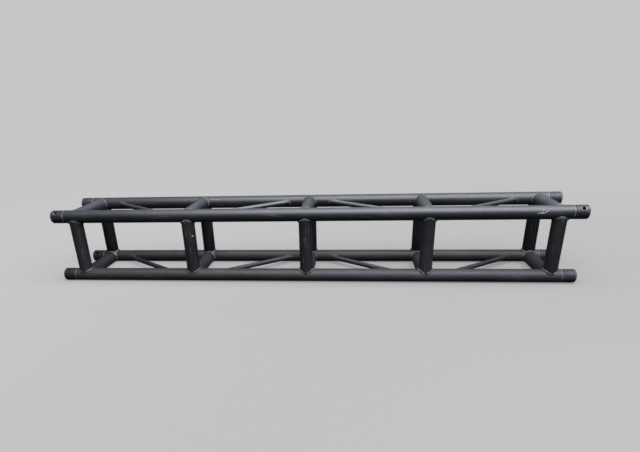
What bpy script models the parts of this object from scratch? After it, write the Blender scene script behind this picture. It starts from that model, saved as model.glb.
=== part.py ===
"""Lighting truss section: a welded box girder of painted aluminium tube.

Four chord tubes run along X. Square frames of uprights and cross members hold them apart, thin diagonals
brace the top and bottom faces, and a turned receiver in each chord end takes a coupler and its pin.
Metres, +Z up. The origin is under the middle of the section, on the surface that it lies on.
"""

import math

import bmesh
import bpy
from mathutils import Matrix, Vector

# The section, between the chord axes
LENGTH = 2.000
AXIS_WIDTH = 0.240
AXIS_HEIGHT = 0.240

# Chord tubes
CHORD_DIAMETER = 0.050
CHORD_WALL = 0.003

# Uprights and cross members of the square frames
FRAME_COUNT = 5
END_FRAME_INSET = 0.090
BRACE_DIAMETER = 0.050
BRACE_WALL = 0.003

# Diagonals: each foot is set along the chord from the frame's axis
DIAGONAL_DIAMETER = 0.019
DIAGONAL_WALL = 0.002
DIAGONAL_FOOT = 0.0625

# Receivers: a collar that shows, and a spigot inside the chord
COLLAR_LENGTH = 0.048
COLLAR_EDGE_RADIUS = 0.003
SPIGOT_LENGTH = 0.027
SPIGOT_WALL = 0.0097
SPIGOT_CHAMFER = 0.001
SOCKET_RIM = 0.009
SOCKET_TAPER = 0.002
SOCKET_FLOOR = 0.021
PIN_HOLE_DIAMETER = 0.012
PIN_HOLE_INSET = 0.022
PIN_HOLE_ANGLE = math.radians(45)

# Gap between pieces that are welded together
WELD_GAP = 0.0003

# Flats around each round piece, in multiples of eight so that one lies level
TUBE_SIDES = 24
DIAGONAL_SIDES = 16
PIN_HOLE_SIDES = 16
EDGE_STEPS = 3

# Paint
PAINT_COLOUR = (0.020, 0.021, 0.024, 1.0)
PAINT_ROUGHNESS = 0.42
COLLAR_ROUGHNESS = 0.36
DIAGONAL_ROUGHNESS = 0.48
SMOOTH_ANGLE = math.radians(30)

CHORD_RADIUS = CHORD_DIAMETER / 2
BRACE_RADIUS = BRACE_DIAMETER / 2
SECTION_CENTRE = CHORD_RADIUS + AXIS_HEIGHT / 2
FRAME_PITCH = (LENGTH - 2 * END_FRAME_INSET) / (FRAME_COUNT - 1)
FRAME_STATIONS = [END_FRAME_INSET - LENGTH / 2 + i * FRAME_PITCH for i in range(FRAME_COUNT)]

ALONG = Vector((1.0, 0.0, 0.0))
UP = Vector((0.0, 0.0, 1.0))
FACES = {"front": -1, "back": 1}
LEVELS = {"top": 1, "bottom": -1}
ENDS = {"left": -1, "right": 1}


def corner_radius(radius, sides):
    """Radius at the corners of a polygon whose flats lie at the given radius."""
    return radius / math.cos(math.pi / sides)


def side_of(face):
    """Y of the chord axes on a face."""
    return FACES[face] * AXIS_WIDTH / 2


def level_of(level):
    """Z of the chord axes on a level."""
    return SECTION_CENTRE + LEVELS[level] * AXIS_HEIGHT / 2


def satin_black(name, roughness):
    """Black paint of the given roughness."""
    material = bpy.data.materials.new(name)
    material.use_nodes = True
    shader = material.node_tree.nodes["Principled BSDF"]
    shader.inputs["Base Color"].default_value = PAINT_COLOUR
    shader.inputs["Roughness"].default_value = roughness
    shader.inputs["Metallic"].default_value = 0.0
    return material


def finished_mesh(bm, name, material):
    """The bmesh as a mesh with its faces outwards, its round sides smooth and its paint on."""
    bmesh.ops.recalc_face_normals(bm, faces=bm.faces)
    mesh = bpy.data.meshes.new(name)
    bm.to_mesh(mesh)
    bm.free()
    mesh.materials.append(material)
    mesh.shade_smooth()
    mesh.set_sharp_from_angle(angle=SMOOTH_ANGLE)
    return mesh


def place(name, mesh, section, location, rotation=(0.0, 0.0, 0.0)):
    """One piece of the section at its place."""
    piece = bpy.data.objects.new(name, mesh)
    piece.location = location
    piece.rotation_euler = rotation
    piece.parent = section
    bpy.context.scene.collection.objects.link(piece)
    return piece


def turned(profile, axis, sides):
    """A closed section of (along, radius) points turned about an axis, with flats facing up and down."""
    bm = bmesh.new()
    outward = Matrix.Rotation(math.pi / sides, 3, axis) @ axis.orthogonal().normalized()
    verts = [bm.verts.new(axis * along + outward * corner_radius(radius, sides)) for along, radius in profile]
    edges = [bm.edges.new((vert, verts[i - 1])) for i, vert in enumerate(verts)]
    bmesh.ops.spin(
        bm,
        geom=verts + edges,
        cent=(0.0, 0.0, 0.0),
        axis=axis,
        angle=2 * math.pi,
        steps=sides,
        use_merge=True,
    )
    return bm


def tube(diameter, wall, length, sides, axis=UP, end_height=None):
    """A tube about the origin, along an axis.

    end_height(x, y, end, relief) cuts the ends of an upright tube: it gives the Z of a point on a cut edge.
    end is 1 at the upper end and -1 at the lower, and relief is how much further the inner edge of a cut
    stands off, so that a flat cut across the wall clears the round tube that it meets.
    """
    outer = diameter / 2
    inner = outer - wall
    half = length / 2
    bm = turned([(-half, outer), (half, outer), (half, inner), (-half, inner)], axis, sides)
    for vert in bm.verts if end_height else ():
        relief = 0.0 if vert.co.xy.length > outer - wall / 2 else wall / 2
        end = math.copysign(1.0, vert.co.z)
        vert.co.z = end_height(vert.co.x, vert.co.y, end, relief)
    return bm


def saddle(radius, sides, across, relief):
    """Height of a cut that sits on a round tube, at a distance across from the tube's axis."""
    cut = corner_radius(radius, sides) + WELD_GAP + relief
    return math.sqrt(max(cut * cut - across * across, 0.0))


def make_chords(section):
    """The long tubes, cut to leave room for the collars at both ends."""
    paint = satin_black("chord_paint", PAINT_ROUGHNESS)
    length = LENGTH - 2 * (COLLAR_LENGTH + WELD_GAP)
    mesh = finished_mesh(tube(CHORD_DIAMETER, CHORD_WALL, length, TUBE_SIDES, ALONG), "chord", paint)
    for face in FACES:
        for level in LEVELS:
            place(f"chord_{face}_{level}", mesh, section, (0.0, side_of(face), level_of(level)))


def make_uprights(section):
    """The upright tubes of each frame, coped onto the chords above and below."""

    def end_height(x, y, end, relief):
        return end * (AXIS_HEIGHT / 2 - saddle(CHORD_RADIUS, TUBE_SIDES, y, relief))

    paint = satin_black("upright_paint", PAINT_ROUGHNESS)
    bm = tube(BRACE_DIAMETER, BRACE_WALL, AXIS_HEIGHT, TUBE_SIDES, end_height=end_height)
    mesh = finished_mesh(bm, "upright", paint)
    for face in FACES:
        for number, station in enumerate(FRAME_STATIONS, start=1):
            place(f"upright_{face}_{number}", mesh, section, (station, side_of(face), SECTION_CENTRE))


def make_cross_members(section):
    """The level tubes of each frame, coped onto the chords and, on their inner half, onto the uprights."""

    def end_height(x, y, end, relief):
        seat = saddle(CHORD_RADIUS, TUBE_SIDES, y, relief)
        if y > 0:
            seat = max(seat, saddle(BRACE_RADIUS, TUBE_SIDES, x, relief))
        return end * (AXIS_WIDTH / 2 - seat)

    paint = satin_black("cross_member_paint", PAINT_ROUGHNESS)
    bm = tube(BRACE_DIAMETER, BRACE_WALL, AXIS_WIDTH, TUBE_SIDES, end_height=end_height)
    mesh = finished_mesh(bm, "cross_member", paint)
    for level, sign in LEVELS.items():
        for number, station in enumerate(FRAME_STATIONS, start=1):
            place(
                f"cross_member_{level}_{number}",
                mesh,
                section,
                (station, 0.0, level_of(level)),
                (-sign * math.pi / 2, 0.0, 0.0),
            )


def make_diagonals(section):
    """The thin tubes that zigzag between the chords of the top and bottom faces, one in each bay."""
    run = FRAME_PITCH - 2 * DIAGONAL_FOOT
    slope = math.atan2(AXIS_WIDTH, run)

    def end_height(x, y, end, relief):
        seat = AXIS_WIDTH / 2 - saddle(CHORD_RADIUS, TUBE_SIDES, y, relief)
        return (end * seat - x * math.cos(slope)) / math.sin(slope)

    paint = satin_black("diagonal_paint", DIAGONAL_ROUGHNESS)
    length = math.hypot(AXIS_WIDTH, run)
    bm = tube(DIAGONAL_DIAMETER, DIAGONAL_WALL, length, DIAGONAL_SIDES, end_height=end_height)
    lean = Vector((math.cos(slope), math.sin(slope), 0.0))
    lie_down = Matrix((UP.cross(lean), UP, lean)).transposed()
    bmesh.ops.rotate(bm, cent=(0.0, 0.0, 0.0), matrix=lie_down, verts=bm.verts)
    mesh = finished_mesh(bm, "diagonal", paint)
    for level in LEVELS:
        for bay, station in enumerate(FRAME_STATIONS[:-1]):
            turned_over = math.pi if bay % 2 == 0 else 0.0
            place(
                f"diagonal_{level}_{bay + 1}",
                mesh,
                section,
                (station + FRAME_PITCH / 2, 0.0, level_of(level)),
                (turned_over, 0.0, 0.0),
            )


def receiver_profile():
    """The receiver's section as (along X, radius) points: its face is at zero and it runs to -X."""
    spigot_radius = CHORD_RADIUS - CHORD_WALL - WELD_GAP
    bore_radius = spigot_radius - SPIGOT_WALL
    mouth_radius = CHORD_RADIUS - SOCKET_RIM
    tail = -(COLLAR_LENGTH + SPIGOT_LENGTH)
    points = [(tail + SOCKET_FLOOR, mouth_radius - SOCKET_TAPER), (0.0, mouth_radius)]
    for step in range(EDGE_STEPS + 1):
        angle = step / EDGE_STEPS * math.pi / 2
        points.append(
            (
                (math.cos(angle) - 1) * COLLAR_EDGE_RADIUS,
                CHORD_RADIUS - (1 - math.sin(angle)) * COLLAR_EDGE_RADIUS,
            )
        )
    points += [
        (-COLLAR_LENGTH, CHORD_RADIUS),
        (-COLLAR_LENGTH, spigot_radius),
        (tail + SPIGOT_CHAMFER, spigot_radius),
        (tail, spigot_radius - SPIGOT_CHAMFER),
        (tail, bore_radius),
        (tail + SOCKET_FLOOR, bore_radius),
    ]
    return points


def pin_drill(paint):
    """The drill that makes the pin hole: upright, and longer than the receiver is wide."""
    bm = bmesh.new()
    corner = corner_radius(PIN_HOLE_DIAMETER / 2, PIN_HOLE_SIDES)
    bmesh.ops.create_cone(
        bm,
        cap_ends=True,
        segments=PIN_HOLE_SIDES,
        radius1=corner,
        radius2=corner,
        depth=2 * CHORD_DIAMETER,
        matrix=Matrix.Translation((-PIN_HOLE_INSET, 0.0, 0.0)),
    )
    drill = bpy.data.objects.new("pin_drill", finished_mesh(bm, "pin_drill", paint))
    drill.hide_render = True
    drill.display_type = "WIRE"
    bpy.context.scene.collection.objects.link(drill)
    return drill


def make_receivers(section):
    """The turned receivers: a collar flush with the chord, a tapered socket and a slanting pin hole."""
    paint = satin_black("receiver_paint", COLLAR_ROUGHNESS)
    drill = pin_drill(paint)
    bm = turned(receiver_profile(), ALONG, TUBE_SIDES)
    blank = place("receiver_blank", finished_mesh(bm, "receiver_blank", paint), None, (0.0, 0.0, 0.0))
    cut = blank.modifiers.new("pin_hole", "BOOLEAN")
    cut.operation = "DIFFERENCE"
    cut.solver = "EXACT"
    cut.object = drill
    bpy.context.view_layer.update()
    drilled = bpy.data.meshes.new_from_object(blank.evaluated_get(bpy.context.evaluated_depsgraph_get()))
    drilled.name = "receiver"
    bpy.data.objects.remove(blank)
    bpy.data.objects.remove(drill)
    for end, out in ENDS.items():
        turn = 0.0 if out > 0 else math.pi
        for face, side in FACES.items():
            for level, height in LEVELS.items():
                place(
                    f"receiver_{end}_{face}_{level}",
                    drilled,
                    section,
                    (out * LENGTH / 2, side_of(face), level_of(level)),
                    (-out * side * height * PIN_HOLE_ANGLE, 0.0, turn),
                )


def main():
    """Clears the scene and builds the section under one empty."""
    for leftover in list(bpy.data.objects):
        bpy.data.objects.remove(leftover)
    section = bpy.data.objects.new("truss_section", None)
    bpy.context.scene.collection.objects.link(section)
    make_chords(section)
    make_receivers(section)
    make_uprights(section)
    make_cross_members(section)
    make_diagonals(section)


main()
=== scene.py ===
"""Dresses a lighting truss section in smooth tube, turned receivers, rippled welds and worn black paint.

Sizes are in metres, in the CAD model's frame: X along the section, -Y to the front and Z up.
"""

import logging
import math
from collections.abc import Callable, Iterator, Sequence
from dataclasses import dataclass, replace
from enum import Enum
from typing import NamedTuple

import bmesh
import bpy
from mathutils import Matrix, Vector, noise


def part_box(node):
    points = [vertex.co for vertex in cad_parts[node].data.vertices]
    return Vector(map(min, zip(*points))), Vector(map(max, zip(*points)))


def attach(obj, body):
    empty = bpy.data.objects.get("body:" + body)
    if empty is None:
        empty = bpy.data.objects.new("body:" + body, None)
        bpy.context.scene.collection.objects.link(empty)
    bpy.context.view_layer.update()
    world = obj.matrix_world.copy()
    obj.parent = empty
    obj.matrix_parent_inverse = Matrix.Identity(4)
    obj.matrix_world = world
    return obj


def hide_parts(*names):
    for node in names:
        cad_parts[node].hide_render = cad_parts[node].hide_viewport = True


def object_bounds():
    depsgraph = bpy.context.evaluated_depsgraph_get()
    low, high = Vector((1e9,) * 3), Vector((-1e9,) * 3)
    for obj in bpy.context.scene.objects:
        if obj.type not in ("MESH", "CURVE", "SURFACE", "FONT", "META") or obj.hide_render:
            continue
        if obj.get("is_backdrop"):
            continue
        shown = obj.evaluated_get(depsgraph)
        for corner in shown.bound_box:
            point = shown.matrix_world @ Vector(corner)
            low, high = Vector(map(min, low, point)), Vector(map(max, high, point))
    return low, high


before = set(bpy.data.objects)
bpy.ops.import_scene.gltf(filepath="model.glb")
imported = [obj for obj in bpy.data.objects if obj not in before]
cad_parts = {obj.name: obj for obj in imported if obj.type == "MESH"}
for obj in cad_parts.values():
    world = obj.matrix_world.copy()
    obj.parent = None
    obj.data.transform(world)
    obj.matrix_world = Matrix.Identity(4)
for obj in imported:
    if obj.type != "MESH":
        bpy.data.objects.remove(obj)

LOG = logging.getLogger("truss_section")
BODY = "root"
CAD_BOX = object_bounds()
ALONG = Vector((1.0, 0.0, 0.0))
BACKWARD = Vector((0.0, 1.0, 0.0))
UP = Vector((0.0, 0.0, 1.0))
WEAR = "wear"
SMOOTH_ANGLE = math.radians(32)
WHITE = (1.0, 1.0, 1.0, 1.0)
# How far the smooth tubes stay inside the CAD model's box
SKIN = 0.00002
# How finely streaks are drawn across a tube and along it
RUNG_GRAIN = 70.0
LONG_GRAIN = 4.0
# The thin tubes have smaller and less worn welds
DIAGONAL_BEAD = dict(leg=0.004, tip_leg=0.004, tip_rise=0.004, steps=150, wear=0.5, tip_wear=0.0)
# What varies the ripples from weld to weld
FIRST_CROSS_SEED = 20
FIRST_DIAGONAL_SEED = 40
SEED_STEP = 0.37
END_SEED_STEP = 0.11

Socket = bpy.types.NodeSocket
Material = bpy.types.Material
Object = bpy.types.Object
BMesh = bmesh.types.BMesh
Pair = tuple[float, float]
Point = tuple[float, float, float]
Colour = tuple[float, float, float, float]
Seat = Callable[[Vector], list["RoundBar"]]


class Face(Enum):
    """The two upright faces of the section, with the sign of their Y."""

    FRONT = -1
    BACK = 1


class Level(Enum):
    """The two level faces of the section, with the sign of their height about the middle."""

    BOTTOM = -1
    TOP = 1


class End(Enum):
    """The two ends of the section, with the sign of their X."""

    LEFT = -1
    RIGHT = 1


class Slot(Enum):
    """The record's material slots."""

    TUBE = "tube_paint"
    RECEIVER = "receiver_paint"
    DIAGONAL = "diagonal_paint"


def word(option: Enum) -> str:
    """The option's name as it stands in a node's name."""
    return option.name.lower()


@dataclass(frozen=True)
class Layout:
    """Sizes and places of the section's tubes, read from the frame."""

    chord_radius: float
    brace_radius: float
    diagonal_radius: float
    half_width: float
    half_height: float
    middle: float
    half_length: float
    seam: float
    stations: tuple[float, ...]

    @classmethod
    def from_frame(cls) -> "Layout":
        """Measures the CAD nodes.

        Returns:
            The section's layout in metres.
        """
        count = sum(name.startswith("upright_front_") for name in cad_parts)
        low, high = (Vector(corner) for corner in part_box("chord_front_top"))
        bottom, top = (Vector(corner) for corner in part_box("chord_back_bottom"))
        left, right = (Vector(corner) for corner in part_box("upright_front_1"))
        rod_low, rod_high = (Vector(corner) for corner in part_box("diagonal_top_1"))
        uprights = [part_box(f"upright_front_{number}") for number in range(1, count + 1)]
        return cls(
            chord_radius=(high.z - low.z) / 2 - SKIN,
            brace_radius=(right.x - left.x) / 2 - SKIN,
            diagonal_radius=(rod_high.z - rod_low.z) / 2,
            half_width=(bottom.y + top.y - low.y - high.y) / 4,
            half_height=(low.z + high.z - bottom.z - top.z) / 4,
            middle=(low.z + high.z + bottom.z + top.z) / 4,
            half_length=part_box("receiver_right_front_top")[1][0] - SKIN,
            seam=high.x,
            stations=tuple((box[0][0] + box[1][0]) / 2 for box in uprights),
        )

    def axis_y(self, face: Face) -> float:
        """Y of the chord axes on a face."""
        return face.value * self.half_width

    def axis_z(self, level: Level) -> float:
        """Z of the chord axes on a level."""
        return self.middle + level.value * self.half_height

    def on_chord(self, x: float, face: Face, level: Level) -> Vector:
        """The place on a chord's axis at a distance along the section."""
        return Vector((x, self.axis_y(face), self.axis_z(level)))

    def chord_bar(self, face: Face, level: Level) -> "RoundBar":
        """The chord on that face and level, as a bar that braces are cut to."""
        return RoundBar(self.on_chord(0.0, face, level), ALONG, self.chord_radius)

    def upright_bar(self, face: Face, station: float) -> "RoundBar":
        """The upright on that face at that station, as a bar that cross members are cut to."""
        return RoundBar(Vector((station, self.axis_y(face), self.middle)), UP, self.brace_radius)


@dataclass(frozen=True)
class RoundBar:
    """An endless round bar that another tube is cut to and welded onto."""

    point: Vector
    direction: Vector
    radius: float

    def off_axis(self, place: Vector) -> Vector:
        """The vector from the bar's axis to a place, square to the axis."""
        offset = place - self.point
        return offset - self.direction * offset.dot(self.direction)

    def normal(self, place: Vector) -> Vector:
        """The direction straight out of the bar at a place."""
        return self.off_axis(place).normalized()

    def on_surface(self, place: Vector, depth: float) -> Vector:
        """The place moved straight out or in until it lies that depth under the bar's surface."""
        offset = self.off_axis(place)
        return place - offset + offset.normalized() * (self.radius - depth)

    def reach(self, start: Vector, heading: Vector, squeeze: float) -> float:
        """How far a straight line runs before it meets the bar.

        Args:
            start: Where the line starts, outside the bar.
            heading: Unit direction of the line.
            squeeze: Factor on the line's distance from the bar's middle, under 1 to round off a cut's tips.

        Returns:
            The distance to the bar, or to the line's nearest point where it misses.
        """
        step = heading - self.direction * heading.dot(self.direction)
        rate = step.length
        step.normalize()
        offset = self.off_axis(start)
        ahead = offset.dot(step)
        miss = (offset - step * ahead).length * squeeze
        return (-ahead - math.sqrt(max(self.radius**2 - miss**2, 0.0))) / rate


class NodeTree:
    """Short calls that add and link shader nodes of one material."""

    def __init__(self, material: Material) -> None:
        """Turns on a material's nodes and finds its shader.

        Args:
            material: The material.
        """
        material.use_nodes = True
        self.tree = material.node_tree
        self.shader = self.tree.nodes["Principled BSDF"]

    def add(self, kind: str, *values: object, **settings: object) -> bpy.types.Node:
        """Adds a node.

        Args:
            kind: The node's type.
            *values: What its first inputs are fed: sockets, numbers, vectors or colours.
            **settings: Its properties.

        Returns:
            The node.
        """
        node = self.tree.nodes.new(kind)
        for name, setting in settings.items():
            setattr(node, name, setting)
        for value, socket in zip(values, node.inputs):
            self.feed(value, socket)
        return node

    def link(self, source: Socket, target: Socket) -> None:
        """Links two sockets."""
        self.tree.links.new(source, target)

    def feed(self, value: object, socket: Socket) -> None:
        """Links a socket or sets it.

        Args:
            value: The socket to link it to, or a number, vector or colour.
            socket: The socket that is fed.
        """
        if isinstance(value, Socket):
            self.link(value, socket)
        else:
            socket.default_value = value

    def finish(self, inputs: dict[str, object]) -> None:
        """Feeds the shader's inputs by name."""
        for name, value in inputs.items():
            self.feed(value, self.shader.inputs[name])

    def math(self, operation: str, first: object, second: object, clamp: bool = False) -> Socket:
        """A Math node's result."""
        return self.add("ShaderNodeMath", first, second, operation=operation, use_clamp=clamp).outputs[0]

    def times(self, first: object, second: object) -> Socket:
        """The product of two numbers."""
        return self.math("MULTIPLY", first, second)

    def plus(self, first: object, second: object) -> Socket:
        """The sum of two numbers."""
        return self.math("ADD", first, second)

    def vector(self, operation: str, first: object, second: Point = (0.0, 0.0, 0.0)) -> bpy.types.Node:
        """A Vector Math node."""
        return self.add("ShaderNodeVectorMath", first, second, operation=operation)

    def upward(self, vector: Socket) -> Socket:
        """A vector's Z."""
        return self.add("ShaderNodeSeparateXYZ", vector).outputs["Z"]

    def mix(self, factor: object, first: object, second: object) -> Socket:
        """Mixes two colours.

        Args:
            factor: The second colour's share.
            first: The first colour.
            second: The second colour.

        Returns:
            The mixed colour.
        """
        node = self.add("ShaderNodeMix", factor, data_type="RGBA", clamp_factor=True)
        self.feed(first, node.inputs[6])
        self.feed(second, node.inputs[7])
        return node.outputs[2]

    def noise(self, vector: Socket, scale: float, detail: float) -> Socket:
        """A Noise texture's value."""
        unused_w = 0.0
        return self.add("ShaderNodeTexNoise", vector, unused_w, scale, detail).outputs["Fac"]

    def step(self, value: object, low: float, high: float) -> Socket:
        """A smooth step that is 0 at low and 1 at high."""
        node = self.add("ShaderNodeMapRange", value, low, high, interpolation_type="SMOOTHSTEP", clamp=True)
        return node.outputs["Result"]


class Damage(Enum):
    """How deep a mark goes: into the paint, or through it."""

    RUBBED = "rubbed"
    BARE = "bare"


@dataclass(frozen=True)
class Mark:
    """A worn spot in the paint: an ellipsoid about a place, with ragged edges."""

    place: Point
    size: Point
    turn: Point = (0.0, 0.0, 0.0)
    damage: Damage = Damage.BARE
    strength: float = 1.0
    edge: Pair = (1.0, 1.6)

    def mask(self, nodes: NodeTree, place: Socket, ragged: Socket) -> Socket:
        """Adds the mark to a material.

        Args:
            nodes: The material's nodes.
            place: Object coordinates.
            ragged: Noise that frays the mark's edge.

        Returns:
            The mark's strength inside it, and 0 outside.
        """
        local = nodes.add(
            "ShaderNodeMapping", place, self.place, self.turn, self.size, vector_type="TEXTURE"
        )
        distance = nodes.vector("LENGTH", local.outputs[0]).outputs["Value"]
        inside = nodes.math("SUBTRACT", 1.0, nodes.step(nodes.plus(distance, ragged), *self.edge))
        return nodes.times(inside, self.strength)


@dataclass(frozen=True)
class PaintMaps:
    """What the layers of paint read: the place, its height, its wear, and noises of several sizes."""

    place: Socket
    raised: Socket
    worn: Socket
    patch: Socket
    fine: Socket
    speckle: Socket
    streak: Socket


@dataclass(frozen=True)
class BlackPaint:
    """Satin black paint on aluminium, with orange peel, dust and painted light from above on up-facing
    surfaces, scuffs along the tube and chips to bare metal.

    Each noise is its scale and detail, and each range is where a layer starts and where it is full.
    """

    name: str
    colour: Colour = (0.0042, 0.0047, 0.0054, 1.0)
    faded: Colour = (0.0082, 0.0083, 0.0099, 1.0)
    # Tone of dust and painted light from above on up-facing surfaces
    dust_and_top_light_tone: Colour = (0.016, 0.0172, 0.0195, 1.0)
    scuffed: Colour = (0.20, 0.205, 0.215, 1.0)
    metal: Colour = (0.62, 0.63, 0.65, 1.0)
    roughness: float = 0.45
    gloss: float = 0.25
    grain: Point = (LONG_GRAIN, RUNG_GRAIN, RUNG_GRAIN)
    marks: tuple[Mark, ...] = ()
    fray: float = 1.8
    rub: float = 0.16
    crest_rub: float = 0.55
    mottle: float = 0.35
    dust_patch: float = 0.5
    dust_dull: float = 0.15
    # Share of the dust and painted top light on the lower tubes; less of it paints them in shade
    lower_tube_dust_and_light: float = 0.25
    low_dull: float = 0.16
    uneven: float = 0.10
    peel_height: float = 0.00025
    peel_strength: float = 0.55
    peel_share: float = 0.35
    chip_share: float = 0.6
    turning: float = 0.0
    turning_share: float = 0.25
    patch_noise: Pair = (5.5, 3.0)
    fine_noise: Pair = (130.0, 4.0)
    speckle_noise: Pair = (420.0, 3.0)
    streak_noise: Pair = (4.0, 5.0)
    prick_noise: Pair = (31.0, 1.0)
    peel_noise: Pair = (900.0, 1.0)
    rise: Pair = (0.06, 0.24)
    fade_range: Pair = (0.38, 0.68)
    edge_range: Pair = (0.50, 0.60)
    prick_range: Pair = (0.54, 0.60)
    streak_range: Pair = (0.60, 0.78)
    crest_range: Pair = (0.30, 0.75)
    settle_range: Pair = (-0.1, 1.0)

    def material(self) -> Material:
        """Builds the paint's node material.

        Returns:
            The material, which reads Object coordinates and the pieces' wear attribute.
        """
        material = bpy.data.materials.new(self.name)
        nodes = NodeTree(material)
        maps = self._maps(nodes)
        bare = self._bare(nodes, maps)
        dust_and_top_light = self._dust_and_top_light(nodes, maps)
        tone = nodes.mix(nodes.step(maps.patch, *self.fade_range), self.colour, self.faded)
        # Painted light: up-facing surfaces are paled by dust and by light from above
        tone = nodes.mix(dust_and_top_light, tone, self.dust_and_top_light_tone)
        tone = nodes.mix(self._scuff(nodes, maps), tone, self.scuffed)
        tone = nodes.mix(bare, tone, self.metal)
        nodes.finish(
            {
                "Base Color": tone,
                "Metallic": bare,
                "Roughness": self._roughness(nodes, maps, dust_and_top_light),
                "Specular IOR Level": self.gloss,
                "Normal": self._relief(nodes, maps, bare),
            }
        )
        return material

    def _maps(self, nodes: NodeTree) -> PaintMaps:
        """Adds what the layers of paint read.

        Args:
            nodes: The material's nodes.

        Returns:
            The sockets.
        """
        place = nodes.add("ShaderNodeTexCoord").outputs["Object"]
        return PaintMaps(
            place=place,
            raised=nodes.step(nodes.upward(place), *self.rise),
            worn=nodes.add("ShaderNodeAttribute", attribute_name=WEAR).outputs["Fac"],
            patch=nodes.noise(place, *self.patch_noise),
            fine=nodes.noise(place, *self.fine_noise),
            speckle=nodes.noise(place, *self.speckle_noise),
            streak=nodes.noise(nodes.vector("MULTIPLY", place, self.grain).outputs[0], *self.streak_noise),
        )

    def _bare(self, nodes: NodeTree, maps: PaintMaps) -> Socket:
        """Finds where the paint is gone: on worn edges, in scattered pinpricks and in the bare marks.

        Args:
            nodes: The material's nodes.
            maps: What the layers of paint read.

        Returns:
            1 where the metal shows, and 0 elsewhere.
        """
        edge = nodes.step(nodes.times(maps.worn, maps.fine), *self.edge_range)
        prick = nodes.times(maps.speckle, nodes.noise(maps.place, *self.prick_noise))
        bare = nodes.math("MAXIMUM", edge, nodes.step(prick, *self.prick_range))
        return self._marked(nodes, maps, bare, Damage.BARE)

    def _scuff(self, nodes: NodeTree, maps: PaintMaps) -> Socket:
        """Finds where the paint is rubbed: in faint streaks, on crests and edges, and in the rubbed marks.

        Args:
            nodes: The material's nodes.
            maps: What the layers of paint read.

        Returns:
            How rubbed it is, from 0 to 1.
        """
        rubbed = nodes.times(nodes.step(maps.streak, *self.streak_range), self.rub)
        crest = nodes.times(maps.worn, nodes.step(maps.fine, *self.crest_range))
        scuff = nodes.math("MAXIMUM", rubbed, nodes.times(crest, self.crest_rub))
        return self._marked(nodes, maps, scuff, Damage.RUBBED)

    def _marked(self, nodes: NodeTree, maps: PaintMaps, base: Socket, damage: Damage) -> Socket:
        """Adds the marks of one depth to a wear mask.

        Args:
            nodes: The material's nodes.
            maps: What the layers of paint read.
            base: The wear mask.
            damage: The depth.

        Returns:
            The mask with the marks.
        """
        ragged = nodes.times(nodes.math("SUBTRACT", maps.speckle, 0.5), self.fray)
        for mark in self.marks:
            if mark.damage is damage:
                base = nodes.math("MAXIMUM", base, mark.mask(nodes, maps.place, ragged))
        return base

    def _dust_and_top_light(self, nodes: NodeTree, maps: PaintMaps) -> Socket:
        """Finds where dust and painted light from above pale the paint: on surfaces that face up, most on the
        upper tubes, so that the lower tubes stay in painted shade.

        Args:
            nodes: The material's nodes.
            maps: What the layers of paint read.

        Returns:
            How much dust and painted top light it has, in soft patches.
        """
        facing = nodes.upward(nodes.add("ShaderNodeNewGeometry").outputs["Normal"])
        share = nodes.plus(nodes.times(maps.raised, 1.0 - self.lower_tube_dust_and_light), self.lower_tube_dust_and_light)
        settled = nodes.times(nodes.step(facing, *self.settle_range), share)
        patchy = nodes.plus(nodes.times(maps.patch, self.dust_patch), nodes.times(maps.fine, self.mottle))
        return nodes.math("MULTIPLY", settled, patchy, clamp=True)

    def _roughness(self, nodes: NodeTree, maps: PaintMaps, dust_and_top_light: Socket) -> Socket:
        """Works out the paint's roughness: uneven, duller under dust and on the lower tubes.

        Args:
            nodes: The material's nodes.
            maps: What the layers of paint read.
            dust_and_top_light: How much dust and painted top light it has.

        Returns:
            The roughness.
        """
        uneven = nodes.plus(nodes.times(maps.patch, self.uneven), nodes.times(maps.fine, self.uneven))
        dulled = nodes.plus(uneven, nodes.times(dust_and_top_light, self.dust_dull))
        ground_worn = nodes.math("SUBTRACT", dulled, nodes.times(maps.raised, self.low_dull))
        return nodes.plus(ground_worn, self.roughness + self.low_dull - self.uneven)

    def _relief(self, nodes: NodeTree, maps: PaintMaps, bare: Socket) -> Socket:
        """Works out the small relief: orange peel, chips sunk under it, and turning marks where it has them.

        Args:
            nodes: The material's nodes.
            maps: What the layers of paint read.
            bare: Where the metal shows.

        Returns:
            The bumped normal.
        """
        peel = nodes.times(nodes.noise(maps.place, *self.peel_noise), self.peel_share)
        height = nodes.math("SUBTRACT", nodes.plus(maps.fine, peel), nodes.times(bare, self.chip_share))
        if self.turning:
            rings = nodes.add(
                "ShaderNodeTexWave", maps.place, self.turning, wave_type="BANDS", bands_direction="X"
            )
            height = nodes.plus(height, nodes.times(rings.outputs["Fac"], self.turning_share))
        bump = nodes.add("ShaderNodeBump", self.peel_strength, self.peel_height)
        nodes.link(height, bump.inputs["Height"])
        return bump.outputs["Normal"]


def smooth_step(value: float, low: float, high: float) -> float:
    """0 below low and 1 above high, with a smooth rise between."""
    share = min(max((value - low) / (high - low), 0.0), 1.0)
    return share * share * (3 - 2 * share)


def turned(profile: Sequence[Pair], axis: Vector, steps: int, closed: bool = True) -> BMesh:
    """Turns a section about an axis through the origin.

    Args:
        profile: Points of the section as (along the axis, radius).
        axis: Unit direction of the axis.
        steps: Steps around.
        closed: Whether the section's last point joins its first.

    Returns:
        The turned shape.
    """
    bm = bmesh.new()
    outward = axis.orthogonal().normalized()
    verts = [bm.verts.new(axis * along + outward * radius) for along, radius in profile]
    edges = [bm.edges.new((verts[i], verts[i - 1])) for i in range(0 if closed else 1, len(verts))]
    bmesh.ops.spin(
        bm,
        geom=verts + edges,
        cent=(0.0, 0.0, 0.0),
        axis=axis,
        angle=math.tau,
        steps=steps,
        use_merge=True,
    )
    bmesh.ops.recalc_face_normals(bm, faces=bm.faces)
    return bm


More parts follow.
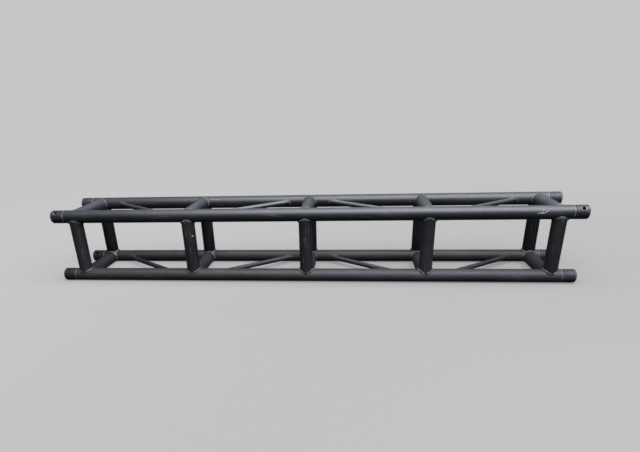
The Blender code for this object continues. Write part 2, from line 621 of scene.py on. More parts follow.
def rounded(corner: Pair, radius: float, start: float, steps: int) -> Iterator[Pair]:
    """Points of a quarter circle that rounds a corner of a turned section.

    Args:
        corner: Centre of the quarter circle as (along, radius).
        radius: Radius of the quarter circle.
        start: Angle where it starts, from along the axis towards outward.
        steps: Steps in the quarter circle.

    Returns:
        The points, in order.
    """
    for step in range(steps + 1):
        angle = start + step / steps * math.pi / 2
        yield corner[0] + radius * math.cos(angle), corner[1] + radius * math.sin(angle)


def as_object(bm: BMesh, name: str) -> Object:
    """Puts a bmesh into the scene as an object.

    Args:
        bm: The shape. It is freed.
        name: The object's name.

    Returns:
        The object.
    """
    mesh = bpy.data.meshes.new(name)
    bm.to_mesh(mesh)
    bm.free()
    made = bpy.data.objects.new(name, mesh)
    bpy.context.scene.collection.objects.link(made)
    return made


def finish_piece(bm: BMesh, name: str, paint: Material, slot: Slot, node: str = "") -> Object:
    """Makes a finished piece of a bmesh that is already in place.

    Args:
        bm: The piece's shape in the section's frame. It is freed.
        name: The piece's name.
        paint: Its material.
        slot: The record's slot for the piece; not used.
        node: The CAD node that it replaces, if any.

    Returns:
        The piece, riding on the section.
    """
    piece = as_object(bm, name)
    piece.data.materials.append(paint)
    piece.data.shade_smooth()
    piece.data.set_sharp_from_angle(angle=SMOOTH_ANGLE)
    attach(piece, BODY)
    if node:
        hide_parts(node)
    LOG.info("%s: %d faces", name, len(piece.data.polygons))
    return piece


@dataclass
class Chord:
    """A long chord tube between two receivers."""

    layout: Layout
    face: Face
    level: Level
    wall: float = 0.003
    land: float = 0.0042
    land_depth: float = 0.0012
    steps: int = 96

    def build(self, paint: Material) -> Object:
        """Turns the tube with its ends bevelled down to a land for the weld.

        Args:
            paint: The tube's paint.

        Returns:
            The finished piece.
        """
        outer = self.layout.chord_radius
        seam = self.layout.seam
        half = [
            (seam - self.land - self.land_depth, outer),
            (seam - self.land, outer - self.land_depth),
            (seam, outer - self.land_depth),
            (seam, outer - self.wall),
        ]
        profile = half + [(-along, radius) for along, radius in reversed(half)]
        bm = turned(profile, ALONG, self.steps)
        bmesh.ops.translate(bm, vec=self.layout.on_chord(0.0, self.face, self.level), verts=bm.verts)
        node = f"chord_{word(self.face)}_{word(self.level)}"
        return finish_piece(bm, f"{node}_tube", paint, Slot.TUBE, node)


@dataclass
class Receiver:
    """A turned receiver: a collar with a tapered socket and a pin hole, and a spigot inside the chord."""

    layout: Layout
    end: End
    face: Face
    level: Level
    rim: float = 0.009
    taper: float = 0.002
    socket_depth: float = 0.054
    mouth_edge: float = 0.0012
    collar_edge: float = 0.0050
    relief: float = 0.0028
    relief_depth: float = 0.0016
    seam_gap: float = 0.0003
    grooves: tuple[float, ...] = (0.0092, 0.0335, 0.0378)
    groove_depth: float = 0.00045
    groove_half: float = 0.0006
    spigot_inset: float = 0.0033
    spigot_length: float = 0.027
    bore: float = 0.012
    pin_radius: float = 0.006
    pin_inset: float = 0.022
    pin_chamfer: float = 0.0008
    pin_flare: float = 0.0016
    pin_rim: float = 0.00096
    pin_margin: float = 0.0024
    drill_clearance: float = 0.0032
    mouth_rim: float = 0.00132
    edge_band: float = 0.0040
    pin_rings: int = 16
    pin_steps: int = 40
    edge_steps: int = 8
    pin_wear: float = 0.3
    mouth_wear: float = 0.6
    edge_wear: float = 0.35
    steps: int = 112

    def profile(self) -> list[Pair]:
        """Draws the receiver's section, with its face at zero and its spigot towards -X.

        Returns:
            Points as (along the axis, radius).
        """
        outer = self.layout.chord_radius
        mouth = outer - self.rim
        shoulder = self.layout.seam + self.seam_gap - self.layout.half_length
        tail = shoulder - self.spigot_length
        points = [
            (-self.socket_depth, mouth - self.taper),
            (-self.mouth_edge, mouth - self.mouth_edge * self.taper / self.socket_depth),
            (0.0, mouth + self.mouth_edge),
        ]
        centre = (-self.collar_edge, outer - self.collar_edge)
        points += rounded(centre, self.collar_edge, 0.0, self.edge_steps)
        near_pin = self.pin_radius + self.pin_margin
        collar = []
        for ring in range(self.pin_rings + 1):
            collar.append((near_pin * (1 - 2 * ring / self.pin_rings) - self.pin_inset, outer))
        for inset in self.grooves:
            collar += [
                (self.groove_half - inset, outer),
                (-inset, outer - self.groove_depth),
                (-self.groove_half - inset, outer),
            ]
        points += sorted(collar, reverse=True)
        points += [
            (shoulder + self.relief, outer),
            (shoulder + self.relief / 2, outer - self.relief_depth),
            (shoulder, outer - self.relief_depth),
            (shoulder, outer - self.spigot_inset),
            (tail, outer - self.spigot_inset),
            (tail, self.bore),
            (-self.socket_depth, self.bore),
        ]
        return points

    def drill(self) -> Object:
        """Makes the drill for the pin hole: it is upright, and widens where it leaves the collar.

        Returns:
            The drill, which is removed once it has cut.
        """
        surface = self.layout.chord_radius
        flare = surface - self.pin_flare
        clear = surface + self.drill_clearance
        wide = self.pin_radius + self.pin_chamfer * (clear - flare) / (surface - flare)
        profile = [(-clear, wide), (-flare, self.pin_radius), (flare, self.pin_radius), (clear, wide)]
        bm = turned(profile, UP, self.pin_steps, closed=False)
        bmesh.ops.holes_fill(bm, edges=[edge for edge in bm.edges if edge.is_boundary], sides=0)
        bmesh.ops.recalc_face_normals(bm, faces=bm.faces)
        bmesh.ops.translate(bm, vec=(-self.pin_inset, 0.0, 0.0), verts=bm.verts)
        return as_object(bm, "pin_drill")

    def drilled(self) -> BMesh:
        """Turns the receiver and drills its pin hole through both walls.

        Returns:
            The shape, not yet in place.
        """
        blank = as_object(turned(self.profile(), ALONG, self.steps), "receiver_blank")
        drill = self.drill()
        cut = blank.modifiers.new("pin_hole", "BOOLEAN")
        cut.operation = "DIFFERENCE"
        cut.solver = "EXACT"
        cut.object = drill
        bpy.context.view_layer.update()
        shaped = blank.evaluated_get(bpy.context.evaluated_depsgraph_get())
        bm = bmesh.new()
        bm.from_mesh(shaped.to_mesh())
        shaped.to_mesh_clear()
        bpy.data.objects.remove(blank)
        bpy.data.objects.remove(drill)
        return bm

    def wear_edges(self, bm: BMesh) -> None:
        """Marks the collar's rounded edge, the socket's mouth and the pin hole's rim as worn.

        Args:
            bm: The receiver, not yet in place.
        """
        layer = bm.verts.layers.float.new(WEAR)
        outer = self.layout.chord_radius
        for vert in bm.verts:
            radius = vert.co.yz.length
            from_pin = math.hypot(vert.co.x + self.pin_inset, vert.co.y) - self.pin_radius
            if from_pin < self.pin_rim and radius > outer - self.pin_flare:
                vert[layer] = self.pin_wear
            elif vert.co.x > -self.mouth_rim:
                vert[layer] = self.mouth_wear
            elif vert.co.x > -self.collar_edge and radius > outer - self.edge_band:
                vert[layer] = self.edge_wear

    def build(self, paint: Material) -> Object:
        """Turns and drills the receiver and sets it in its chord.

        Args:
            paint: The receiver's paint.

        Returns:
            The finished piece.
        """
        bm = self.drilled()
        self.wear_edges(bm)
        roll = Matrix.Rotation(-self.end.value * self.face.value * self.level.value * math.pi / 4, 4, "X")
        turn = Matrix.Rotation(0.0 if self.end is End.RIGHT else math.pi, 4, "Z")
        face_x = self.end.value * self.layout.half_length
        place = Matrix.Translation(self.layout.on_chord(face_x, self.face, self.level))
        bmesh.ops.transform(bm, matrix=place @ turn @ roll, verts=bm.verts)
        node = f"receiver_{word(self.end)}_{word(self.face)}_{word(self.level)}"
        return finish_piece(bm, f"{node}_turning", paint, Slot.RECEIVER, node)


@dataclass
class Brace:
    """A straight tube between two seats, cut to sit on the round bars at its ends."""

    node: str
    slot: Slot
    centre: Vector
    heading: Vector
    side: Vector
    radius: float
    length: float
    seats: dict[int, Seat]
    wall: float = 0.003
    squeeze: float = 0.80
    steps: int = 96

    def frame(self) -> Matrix:
        """Finds how the brace lies.

        Returns:
            The matrix that lays an upright tube along it.
        """
        across = self.heading.cross(self.side)
        turn = Matrix((self.side, across, self.heading)).transposed().to_4x4()
        return Matrix.Translation(self.centre) @ turn

    def around(self, angle: float, radius: float) -> Vector:
        """The direction out of the brace at an angle around it, times a radius."""
        return (self.side * math.cos(angle) + self.heading.cross(self.side) * math.sin(angle)) * radius

    def seat(self, angle: float, end: int) -> tuple[float, RoundBar]:
        """Where the brace's surface meets its seat.

        Args:
            angle: Angle around the brace.
            end: 1 at the end that the brace heads to, -1 at the other.

        Returns:
            The distance from the brace's middle, and the bar that it meets there.
        """
        start = self.centre + self.around(angle, self.radius)
        bars = self.seats[end](start)
        hits = [(bar.reach(start, self.heading * end, self.squeeze), bar) for bar in bars]
        return min(hits, key=lambda hit: hit[0])

    def build(self, paint: Material) -> Object:
        """Turns the tube and cuts its ends to its seats.

        Args:
            paint: The tube's paint.

        Returns:
            The finished piece.
        """
        half = self.length / 2
        inner = self.radius - self.wall
        profile = [(-half, self.radius), (half, self.radius), (half, inner), (-half, inner)]
        bm = turned(profile, UP, self.steps)
        for vert in bm.verts:
            end = 1 if vert.co.z > 0 else -1
            vert.co.z = end * self.seat(math.atan2(vert.co.y, vert.co.x), end)[0]
        bmesh.ops.transform(bm, matrix=self.frame(), verts=bm.verts)
        return finish_piece(bm, f"{self.node}_tube", paint, self.slot, self.node)


@dataclass(frozen=True)
class WeldSection:
    """A weld's cross section: its toe on the brace, its foot on the seat, its root and the way out of it."""

    toe: Vector
    foot: Vector
    root: Vector
    facing: Vector
    level: float


@dataclass
class WeldBead:
    """The rippled fillet weld around one end of a brace."""

    brace: Brace
    end: int
    leg: float = 0.0046
    tip_leg: float = 0.0052
    tip_rise: float = 0.0058
    tip_sink: float = 0.0009
    level_range: Pair = (0.5, 0.88)
    wear: float = 1.0
    tip_wear: float = 0.20
    crown: float = 0.0013
    ripple: float = 0.0005
    ripple_pitch: float = 0.0031
    ripple_bow: float = 0.35
    trough: float = 0.6
    unevenness: float = 0.16
    lump_scale: float = 2.2
    even_wear: float = 0.66
    patchy_wear: float = 0.24
    patch_scale: float = 1.7
    patch_seed: float = 7.0
    path_share: float = 1.15
    run_spread: float = math.radians(3)
    bury: float = 0.0006
    steps: int = 300
    seed: float = 0.0
    faces_across: int = 10
    box_clearance: float = 0.0002
    merge: float = 0.000001

    def path(self, angle: float) -> Vector:
        """Follows the corner that the weld fills.

        Args:
            angle: Angle around the brace.

        Returns:
            The corner there.
        """
        brace = self.brace
        onward = brace.heading * self.end * brace.seat(angle, self.end)[0]
        return brace.centre + brace.around(angle, brace.radius) + onward

    def ripples(self) -> int:
        """How many ripples go round, so that the last meets the first."""
        return round(math.tau * self.brace.radius * self.path_share / self.ripple_pitch)

    def lumps(self, angle: float, seed: float, scale: float) -> float:
        """Smooth noise around the weld that meets itself."""
        return noise.noise(Vector((math.cos(angle), math.sin(angle), seed)) * scale)

    def section(self, angle: float) -> WeldSection:
        """Works out the weld's cross section.

        Args:
            angle: Angle around the brace.

        Returns:
            A fillet in a corner, and a raised bead where the surfaces run level.
        """
        bar = self.brace.seat(angle, self.end)[1]
        corner = self.path(angle)
        run = (self.path(angle + self.run_spread) - self.path(angle - self.run_spread)).normalized()
        outward = self.brace.around(angle, 1.0)
        onward = self.brace.heading * self.end
        off_seat = bar.normal(corner)
        level = smooth_step(outward.dot(off_seat), *self.level_range)
        up_brace = outward.cross(run).normalized()
        up_brace *= -math.copysign(1.0, up_brace.dot(onward))
        along_seat = off_seat.cross(run).normalized()
        along_seat *= math.copysign(1.0, along_seat.dot(outward + onward))
        uneven = 1.0 + self.unevenness * self.lumps(angle, self.seed, self.lump_scale)
        own = RoundBar(self.brace.centre, self.brace.heading, self.brace.radius)
        up_leg = (self.leg + (self.tip_rise - self.leg) * level) * uneven
        seat_leg = (self.leg + (self.tip_leg - self.leg) * level) * uneven
        toe = own.on_surface(corner + up_brace * up_leg, self.bury + self.tip_sink * level)
        foot = bar.on_surface(corner + along_seat * seat_leg, self.bury)
        facing = outward + off_seat
        facing = (facing - run * facing.dot(run)).normalized()
        root = corner - facing * 2 * (self.bury + self.tip_sink * level)
        return WeldSection(toe, foot, root, facing, level)

    def height(self, angle: float, across: float) -> float:
        """Works out how far the weld stands out, with its ripples.

        Args:
            angle: Angle around the brace.
            across: How far across the weld, from its toe at 0 to its foot at 1.

        Returns:
            The height over its chord.
        """
        bowed = self.ripple_bow * (2 * across - 1) ** 2
        wave = abs(math.sin(self.ripples() * angle / 2 + math.pi * (bowed + self.seed)))
        return (self.crown + self.bury + self.ripple * (wave - self.trough)) * math.sin(math.pi * across)

    def place(self, section: WeldSection, angle: float, across: float) -> tuple[Vector, float]:
        """A point of the weld's outside.

        Args:
            section: The weld's cross section there.
            angle: Angle around the brace.
            across: How far across the weld, from its toe at 0 to its foot at 1.

        Returns:
            The point, and how worn it is.
        """
        point = section.toe.lerp(section.foot, across) + section.facing * self.height(angle, across)
        lumps = self.lumps(angle, self.seed + self.patch_seed, self.patch_scale)
        patchy = self.even_wear + self.patchy_wear * lumps
        crest = math.sin(math.pi * across) ** 3
        return self.inside_box(point), self.wear * crest * (patchy + self.tip_wear * section.level)

    def inside_box(self, point: Vector) -> Vector:
        """Dresses a point back where it would stand out of the section's outline.

        Args:
            point: The point, which is moved.

        Returns:
            The same point.
        """
        low, high = CAD_BOX
        for axis in (1, 2):
            point[axis] = max(point[axis], low[axis] + self.box_clearance)
            point[axis] = min(point[axis], high[axis] - self.box_clearance)
        return point

    def lay(self, bm: BMesh) -> None:
        """Adds the weld to a bmesh: a grid that is rolled round the joint and closed on itself.

        Args:
            bm: The bmesh that takes the weld.
        """
        strip = bmesh.new()
        rows = self.faces_across + 2
        bmesh.ops.create_grid(strip, x_segments=self.steps, y_segments=rows, size=0.5)
        layer = strip.verts.layers.float.new(WEAR)
        sections: dict[int, WeldSection] = {}
        for vert in strip.verts:
            step = round((vert.co.x + 0.5) * self.steps) % self.steps
            row = round((vert.co.y + 0.5) * rows) % rows
            angle = step / self.steps * math.tau
            if step not in sections:
                sections[step] = self.section(angle)
            if row > self.faces_across:
                vert.co = sections[step].root
            else:
                vert.co, vert[layer] = self.place(sections[step], angle, row / self.faces_across)
        bmesh.ops.remove_doubles(strip, verts=strip.verts, dist=self.merge)
        bmesh.ops.recalc_face_normals(strip, faces=strip.faces)
        mesh = bpy.data.meshes.new("weld_ring")
        strip.to_mesh(mesh)
        strip.free()
        bm.from_mesh(mesh)
        bpy.data.meshes.remove(mesh)


@dataclass
class SeamWeld:
    """The low ring of weld on the chord's land beside a receiver."""

    layout: Layout
    end: End
    face: Face
    level: Level
    width: float = 0.0044
    depth: float = 0.0015
    sunk: float = 0.0002
    ripple: float = 0.0002
    ripples: int = 48
    wear: float = 0.40
    steps: int = 192
    rows: int = 8

    def build(self, paint: Material) -> Object:
        """Turns the ring, ripples it and sets it on its land.

        Args:
            paint: The weld's paint.

        Returns:
            The finished piece.
        """
        top = self.layout.chord_radius - self.sunk
        arc = [math.pi * row / self.rows for row in range(self.rows + 1)]
        profile = [(self.width / 2 * math.cos(turn), top - self.depth * (1 - math.sin(turn))) for turn in arc]
        bm = turned(profile, ALONG, self.steps)
        layer = bm.verts.layers.float.new(WEAR)
        for vert in bm.verts:
            radius = vert.co.yz.length
            crest = (radius - top + self.depth) / self.depth
            bowed = (vert.co.x / self.width) ** 2
            wave = abs(math.sin(self.ripples / 2 * math.atan2(vert.co.y, vert.co.z) + bowed)) - 1
            vert.co.yz = vert.co.yz * (1 + self.ripple * crest * wave / radius)
            vert[layer] = self.wear * crest
        middle = self.end.value * (self.layout.seam - self.width / 2)
        bmesh.ops.translate(bm, vec=self.layout.on_chord(middle, self.face, self.level), verts=bm.verts)
        name = f"weld_seam_{word(self.end)}_{word(self.face)}_{word(self.level)}"
        return finish_piece(bm, name, paint, Slot.RECEIVER)


@dataclass
class BraceSet:
    """All the tubes that hold the chords apart."""

    layout: Layout
    diagonal_foot: float = 0.0625
    diagonal_wall: float = 0.002
    diagonal_steps: int = 48

    def uprights(self) -> Iterator[Brace]:
        """Makes the upright tubes of both faces.

        Returns:
            The uprights, face by face.
        """
        for face in Face:
            seats = {level.value: self._chord_seat(face, level) for level in Level}
            for number, station in enumerate(self.layout.stations, start=1):
                centre = Vector((station, self.layout.axis_y(face), self.layout.middle))
                length = 2 * self.layout.half_height
                yield self._thick(f"upright_{word(face)}_{number}", centre, UP, length, seats)

    def cross_members(self) -> Iterator[Brace]:
        """Makes the level tubes of the top and bottom faces, which sit on the uprights too.

        Returns:
            The cross members, level by level.
        """
        for level in Level:
            for number, station in enumerate(self.layout.stations, start=1):
                seats = {face.value: self._corner_seat(face, level, station) for face in Face}
                centre = Vector((station, 0.0, self.layout.axis_z(level)))
                length = 2 * self.layout.half_width
                yield self._thick(f"cross_member_{word(level)}_{number}", centre, BACKWARD, length, seats)

    def diagonals(self) -> Iterator[Brace]:
        """Makes the thin tubes that zigzag along the top and bottom faces.

        Returns:
            The diagonals, level by level.
        """
        layout = self.layout
        for level in Level:
            for bay, (left, right) in enumerate(zip(layout.stations, layout.stations[1:])):
                lean = 1 if bay % 2 else -1
                run = right - left - 2 * self.diagonal_foot
                heading = Vector((lean * run, 2 * layout.half_width, 0.0))
                length = heading.length
                heading.normalize()
                yield Brace(
                    node=f"diagonal_{word(level)}_{bay + 1}",
                    slot=Slot.DIAGONAL,
                    centre=Vector(((left + right) / 2, 0.0, layout.axis_z(level))),
                    heading=heading,
                    side=heading.cross(UP),
                    radius=layout.diagonal_radius,
                    length=length,
                    seats={face.value: self._chord_seat(face, level) for face in Face},
                    wall=self.diagonal_wall,
                    squeeze=1.0,
                    steps=self.diagonal_steps,
                )

    def _thick(
        self, node: str, centre: Vector, heading: Vector, length: float, seats: dict[int, Seat]
    ) -> Brace:
        """A tube square to the chords and as thick as the uprights."""
        return Brace(node, Slot.TUBE, centre, heading, ALONG, self.layout.brace_radius, length, seats)

    def _chord_seat(self, face: Face, level: Level) -> Seat:
        """A seat on one chord alone."""
        bars = [self.layout.chord_bar(face, level)]
        return lambda start: bars

    def _corner_seat(self, face: Face, level: Level, station: float) -> Seat:
        """Finds a seat in a corner: on the chord, and on the upright for lines on the upright's side.

        Args:
            face: The chord's face.
            level: The chord's level.
            station: The upright's X.

        Returns:
            What gives the bars that a line can meet, from where it starts.
        """
        chord = self.layout.chord_bar(face, level)
        upright = self.layout.upright_bar(face, station)
        inward = -level.value

        def bars(start: Vector) -> list[RoundBar]:
            """The bars that a line from this start can meet."""
            return [chord, upright] if (start.z - chord.point.z) * inward > 0 else [chord]

        return bars


def weld_brace(
    brace: Brace, number: int, paint: Material, far_wear: float = 1.0, **sizes: float
) -> Object:
    """Lays the welds at both ends of a brace.

    Args:
        brace: The tube that is welded on.
        number: Its place among the braces, which varies the ripples.
        paint: The welds' paint.
        far_wear: Share of the usual wear at the end that the brace heads to.
        **sizes: Sizes of the bead that differ from the usual.

    Returns:
        One piece with both welds.
    """
    bm = bmesh.new()
    for end in (-1, 1):
        bead = WeldBead(brace, end, seed=SEED_STEP * number + END_SEED_STEP * end, **sizes)
        if end == 1:
            bead.wear *= far_wear
        bead.lay(bm)
    return finish_piece(bm, f"weld_{brace.node}", paint, brace.slot)


@dataclass(frozen=True)
class SoftBox:
    """A broad soft light."""

    name: str
    place: Point
    aim: Point
    size: Pair
    watts: float

    def hang(self, tint: Point) -> None:
        """Hangs the light, out of the camera's sight.

        Args:
            tint: Its colour.
        """
        data = bpy.data.lights.new(self.name, "AREA")
        data.shape = "RECTANGLE"
        data.size, data.size_y = self.size
        data.color = tint
        data.energy = self.watts
        lamp = bpy.data.objects.new(self.name, data)
        lamp.location = self.place
        beam = Vector(self.aim) - Vector(self.place)
        lamp.rotation_euler = beam.to_track_quat("-Z", "Y").to_euler()
        lamp.visible_camera = False
        bpy.context.scene.collection.objects.link(lamp)


@dataclass
class Studio:
    """The camera, the soft lights and the pale floor."""

    # The camera was fitted to the tubes' edges, with angles in radians
    camera_place: Point = (0.1668, -1.8677, 0.6839)
    yaw: float = -0.1139
    pitch: float = 0.4116
    roll: float = 0.0364
    focal_pixels: float = 475.17
    picture: tuple[int, int] = (640, 452)
    axis_pixel: Pair = (299.23, 299.99)
    sensor: float = 36.0
    far_clip: float = 100.0
    floor_radius: float = 9.0
    floor_bend: float = 3.0
    floor_sides: int = 128
    bend_steps: int = 24
    wall_height: float = 7.0
    overhead: SoftBox = SoftBox("overhead", (1.0, -1.22, 2.6), (1.0, -1.22, 0.0), (4.4, 3.2), 875.0)
    behind: SoftBox = SoftBox("behind", (0.5, 2.3, 2.7), (0.0, 0.0, 0.15), (3.4, 1.2), 34.0)
    light_tint: Point = (0.915, 0.942, 1.0)
    surround: float = 0.10
    floor_tone: Colour = (0.0481, 0.0467, 0.044, 1.0)
    floor_glow: float = 0.56
    floor_roughness: float = 0.9
    floor_specular: float = 0.1
    light_share: float = 0.38
    light_reach: float = 2.5
    light_fade: float = 3.1

    def camera(self) -> None:
        """Sets the camera where the section is seen as photographed."""
        data = bpy.data.cameras.new("camera")
        data.sensor_width = self.sensor
        data.lens = self.focal_pixels / self.picture[0] * self.sensor
        data.shift_x = (self.picture[0] / 2 - self.axis_pixel[0]) / self.picture[0]
        data.shift_y = (self.axis_pixel[1] - self.picture[1] / 2) / self.picture[0]
        data.clip_end = self.far_clip
        camera = bpy.data.objects.new("camera", data)
        flat = math.cos(self.pitch)
        ahead = Vector((math.sin(self.yaw) * flat, math.cos(self.yaw) * flat, -math.sin(self.pitch)))
        level = Vector((math.cos(self.yaw), -math.sin(self.yaw), 0.0))
        down = ahead.cross(level)
        right = level * math.cos(self.roll) + down * math.sin(self.roll)
        lower = down * math.cos(self.roll) - level * math.sin(self.roll)
        turn = Matrix((right, -lower, -ahead)).transposed().to_4x4()
        camera.matrix_world = Matrix.Translation(self.camera_place) @ turn
        bpy.context.scene.collection.objects.link(camera)
        bpy.context.scene.camera = camera

    def lights(self) -> None:
        """Hangs a broad cool soft box overhead and a weak one behind, in a dim grey surround."""
        for box in (self.overhead, self.behind):
            box.hang(self.light_tint)
        world = bpy.data.worlds.new("surround")
        world.use_nodes = True
        background = world.node_tree.nodes["Background"]
        background.inputs["Color"].default_value = (*self.light_tint, 1.0)
        background.inputs["Strength"].default_value = self.surround
        bpy.context.scene.world = world
        bpy.context.scene.view_settings.view_transform = "Standard"

    def floor(self) -> None:
        """Lays a round pale floor that bends up into a pale wall all round."""
        bm = bmesh.new()
        bmesh.ops.create_circle(bm, cap_ends=True, segments=self.floor_sides, radius=self.floor_radius)
        rim = list(bm.edges)
        grown = bmesh.ops.extrude_edge_only(bm, edges=rim)["geom"]
        wall_top = [item for item in grown if isinstance(item, bmesh.types.BMVert)]
        bmesh.ops.translate(bm, vec=(0.0, 0.0, self.wall_height), verts=wall_top)
        bmesh.ops.bevel(
            bm,
            geom=rim,
            offset=self.floor_bend,
            offset_type="OFFSET",
            affect="EDGES",
            segments=self.bend_steps,
            profile=0.5,
            material=-1,
        )
        bmesh.ops.recalc_face_normals(bm, faces=bm.faces)
        floor = as_object(bm, "floor")
        floor.data.materials.append(self.floor_material())
        floor.data.shade_smooth()
        # The glow would otherwise light the tubes from below and show in their gloss
        floor.visible_glossy = False
        floor.visible_diffuse = False
        floor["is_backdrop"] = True

    def floor_material(self) -> Material:
        """Makes a matt floor that glows where the light fades, so that it is pale from every side.

        Returns:
            The floor's material.
        """
        material = bpy.data.materials.new("pale_floor")
        nodes = NodeTree(material)
        place = nodes.add("ShaderNodeTexCoord").outputs["Object"]
        flat = nodes.vector("MULTIPLY", place, (1.0, 1.0, 0.0)).outputs[0]
        apart = nodes.vector("DISTANCE", flat, self.overhead.aim).outputs["Value"]
        fade = nodes.math("POWER", nodes.math("DIVIDE", apart, self.light_reach), self.light_fade)
        lit = nodes.math("DIVIDE", self.light_share, nodes.plus(fade, 1.0))
        nodes.finish(
            {
                "Base Color": self.floor_tone,
                "Roughness": self.floor_roughness,
                "Specular IOR Level": self.floor_specular,
                "Emission Color": WHITE,
                "Emission Strength": nodes.math("SUBTRACT", self.floor_glow, lit),
            }
        )
        return material


class Scratch(NamedTuple):
    """A scratch on the front of the front top chord: its middle, its half sizes, and its slant in degrees."""

    along: float
    rise: float
    half_length: float
    half_width: float
    slant: float
    strength: float


@dataclass(frozen=True)
class WornSpots:
    """The worn spots that the section shows, in its own frame."""

    layout: Layout
    scratches: tuple[Scratch, ...] = (
        Scratch(0.8275, 0.0028, 0.0040, 0.0015, 10.0, 0.40),
        Scratch(0.8385, 0.0038, 0.0048, 0.0019, -7.0, 0.50),
        Scratch(0.8480, 0.0050, 0.0038, 0.0013, 36.0, 0.45),
        Scratch(0.8560, 0.0098, 0.0034, 0.0012, 28.0, 0.35),
        Scratch(0.8425, 0.0125, 0.0030, 0.0012, 10.0, 0.25),
    )
    scratch_front: float = 0.95
    scratch_depth: float = 0.02
    chip_along: float = 0.849
    chip_side: Pair = (-0.6, -0.8)
    chip_size: Point = (0.0035, 0.004, 0.0025)
    speck_side: Pair = (0.74, -0.67)
    speck_height: float = 0.1895
    speck_size: Point = (0.0020, 0.0030, 0.0022)
    weld_rubs: tuple[float, ...] = (0.38, 0.22, 0.0, 0.14, 0.12)
    weld_inset: float = 0.85
    weld_size: Point = (0.009, 0.008, 0.010)
    pin_rub: float = 0.2
    pin_inset: float = 0.0145
    pin_size: Point = (0.0024, 0.0040, 0.0040)

    def on_chord(self) -> list[Mark]:
        """Places scratches and a chip near the right end of the front chord on top.

        Returns:
            The marks.
        """
        out = self.layout.chord_radius
        _, front, top = self.layout.on_chord(0.0, Face.FRONT, Level.TOP)
        chip = (self.chip_along, front + self.chip_side[0] * out, top + self.chip_side[1] * out)
        marks = [Mark(chip, self.chip_size, damage=Damage.RUBBED)]
        for scratch in self.scratches:
            place = (scratch.along, front - self.scratch_front * out, top + scratch.rise)
            size = (scratch.half_length, self.scratch_depth, scratch.half_width)
            turn = (0.0, -math.radians(scratch.slant), 0.0)
            marks.append(Mark(place, size, turn, Damage.RUBBED, scratch.strength))
        return marks

    def on_upright(self) -> Mark:
        """Places a bare speck on the second front upright.

        Returns:
            The mark.
        """
        across, ahead = (share * self.layout.brace_radius for share in self.speck_side)
        x = self.layout.stations[1] + across
        return Mark((x, self.layout.axis_y(Face.FRONT) + ahead, self.speck_height), self.speck_size)

    def on_welds(self) -> list[Mark]:
        """Places rubbed welds in the lower corners at the back, towards the section's middle.

        Returns:
            The marks.
        """
        inset = self.weld_inset * self.layout.brace_radius
        marks = []
        for station, rub in zip(self.layout.stations, self.weld_rubs):
            if rub:
                corner = self.layout.on_chord(station, Face.BACK, Level.BOTTOM)
                place = corner + Vector((-math.copysign(inset, station), -inset, inset))
                marks.append(Mark(tuple(place), self.weld_size, damage=Damage.RUBBED, strength=rub))
        return marks

    def on_receivers(self) -> list[Mark]:
        """Places rubbed spots beside the pin holes of the two front receivers on top.

        Returns:
            The marks.
        """
        out = self.layout.chord_radius * math.sqrt(0.5)
        marks = []
        for end in End:
            x = end.value * (self.layout.half_length - self.pin_inset)
            place = self.layout.on_chord(x, Face.FRONT, Level.TOP) + Vector((0.0, -out, out))
            marks.append(Mark(tuple(place), self.pin_size, damage=Damage.RUBBED, strength=self.pin_rub))
        return marks


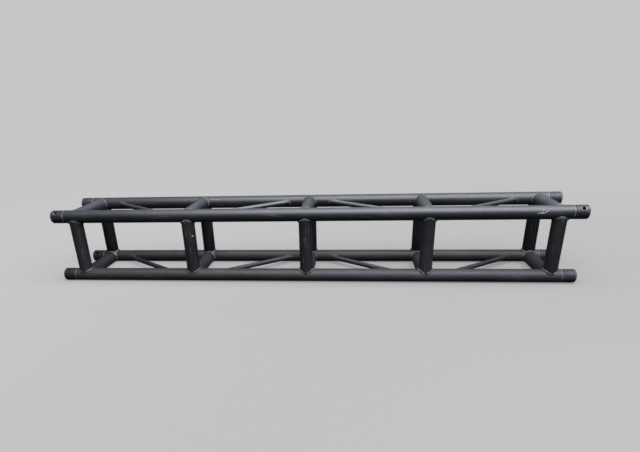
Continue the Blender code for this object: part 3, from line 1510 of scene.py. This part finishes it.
def mixed_paints(layout: Layout) -> dict[str, Material]:
    """Mixes the section's paints.

    Args:
        layout: The section's sizes and places, for its worn spots.

    Returns:
        The materials, by the piece that each is for.
    """
    worn = WornSpots(layout)
    speck = worn.on_upright()
    upright = BlackPaint(
        "upright_black",
        gloss=0.22,
        grain=(RUNG_GRAIN, RUNG_GRAIN, LONG_GRAIN),
        rub=0.26,
        low_dull=0.0,
        marks=(speck,),
    )
    cross_member = BlackPaint(
        "cross_member_black",
        dust_and_top_light_tone=(0.022, 0.0235, 0.0265, 1.0),
        grain=(RUNG_GRAIN, LONG_GRAIN, RUNG_GRAIN),
        mottle=0.65,
        lower_tube_dust_and_light=0.10,
    )
    # The diagonals' pale top tone is dust with a painted highlight along their tops
    diagonal = BlackPaint(
        "diagonal_black",
        dust_and_top_light_tone=(0.080, 0.084, 0.092, 1.0),
        grain=(20.0, 30.0, RUNG_GRAIN),
        lower_tube_dust_and_light=0.10,
    )
    receiver = BlackPaint(
        "receiver_black", roughness=0.46, gloss=0.20, turning=220.0, marks=tuple(worn.on_receivers())
    )
    paints = {
        "tube": BlackPaint("tube_black", marks=(*worn.on_chord(), speck)),
        "upright": upright,
        # Painted shade: a darker, less glossy copy of the upright paint makes the back uprights look shaded
        "shaded_back_upright": replace(
            upright,
            name="back_upright_black",
            colour=(0.0016, 0.0018, 0.0022, 1.0),
            faded=(0.0030, 0.0030, 0.0037, 1.0),
            gloss=0.14,
            rub=0.10,
            marks=(),
        ),
        "cross_member": cross_member,
        # Painted shade: the lower cross members lose the pale top tone and some gloss, so they look shaded
        "shaded_low_cross_member": replace(
            cross_member, name="low_cross_member_black", dust_and_top_light_tone=BlackPaint.dust_and_top_light_tone, gloss=0.17
        ),
        "diagonal": diagonal,
        # Painted shade: the diagonals of the outer bays get a darker top tone and less gloss, so they look
        # dimmer than the middle bays
        "shaded_outer_diagonal": replace(
            diagonal, name="outer_diagonal_black", dust_and_top_light_tone=(0.035, 0.0368, 0.0405, 1.0), gloss=0.16
        ),
        "receiver": receiver,
        # Painted shade: the left receivers get less gloss, so that end looks dimmer
        "shaded_left_receiver": replace(receiver, name="left_receiver_black", gloss=0.13),
        "seam": BlackPaint(
            "seam_black",
            colour=(0.018, 0.0190, 0.0210, 1.0),
            faded=(0.026, 0.0268, 0.0295, 1.0),
            dust_and_top_light_tone=(0.030, 0.0315, 0.0345, 1.0),
        ),
        "weld": BlackPaint(
            "weld_black", roughness=0.46, grain=(40.0, 40.0, 40.0), marks=tuple(worn.on_welds())
        ),
    }
    return {piece: paint.material() for piece, paint in paints.items()}


def main() -> None:
    """Builds the section piece by piece."""
    logging.basicConfig(level=logging.INFO, format="%(message)s")
    layout = Layout.from_frame()
    paints = mixed_paints(layout)
    for face in Face:
        for level in Level:
            Chord(layout, face, level).build(paints["tube"])
            for end in End:
                # The left receivers take the painted-shade copy
                turning = "shaded_left_receiver" if end is End.LEFT else "receiver"
                Receiver(layout, end, face, level).build(paints[turning])
                SeamWeld(layout, end, face, level).build(paints["seam"])
    braces = BraceSet(layout)
    for number, brace in enumerate(braces.uprights()):
        # The back uprights take the painted-shade copy of the upright paint
        brace.build(paints["upright" if brace.centre.y < 0 else "shaded_back_upright"])
        weld_brace(brace, number, paints["weld"], far_wear=0.6)
    for number, brace in enumerate(braces.cross_members(), start=FIRST_CROSS_SEED):
        # The lower cross members take the painted-shade copy
        brace.build(paints["shaded_low_cross_member" if brace.centre.z < layout.middle else "cross_member"])
        weld_brace(brace, number, paints["weld"])
    for number, brace in enumerate(braces.diagonals(), start=FIRST_DIAGONAL_SEED):
        # Diagonals in the outer bays take the painted-shade copy
        in_outer_bay = abs(brace.centre.x) > layout.stations[-2]
        brace.build(paints["shaded_outer_diagonal" if in_outer_bay else "diagonal"])
        weld_brace(brace, number, paints["weld"], **DIAGONAL_BEAD)
    studio = Studio()
    studio.camera()
    studio.lights()
    studio.floor()
    boxes = {"cad": CAD_BOX, "visual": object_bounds()}
    {name: [[float(n) for n in corner] for corner in box] for name, box in boxes.items()}


if __name__ == "__main__":
    main()
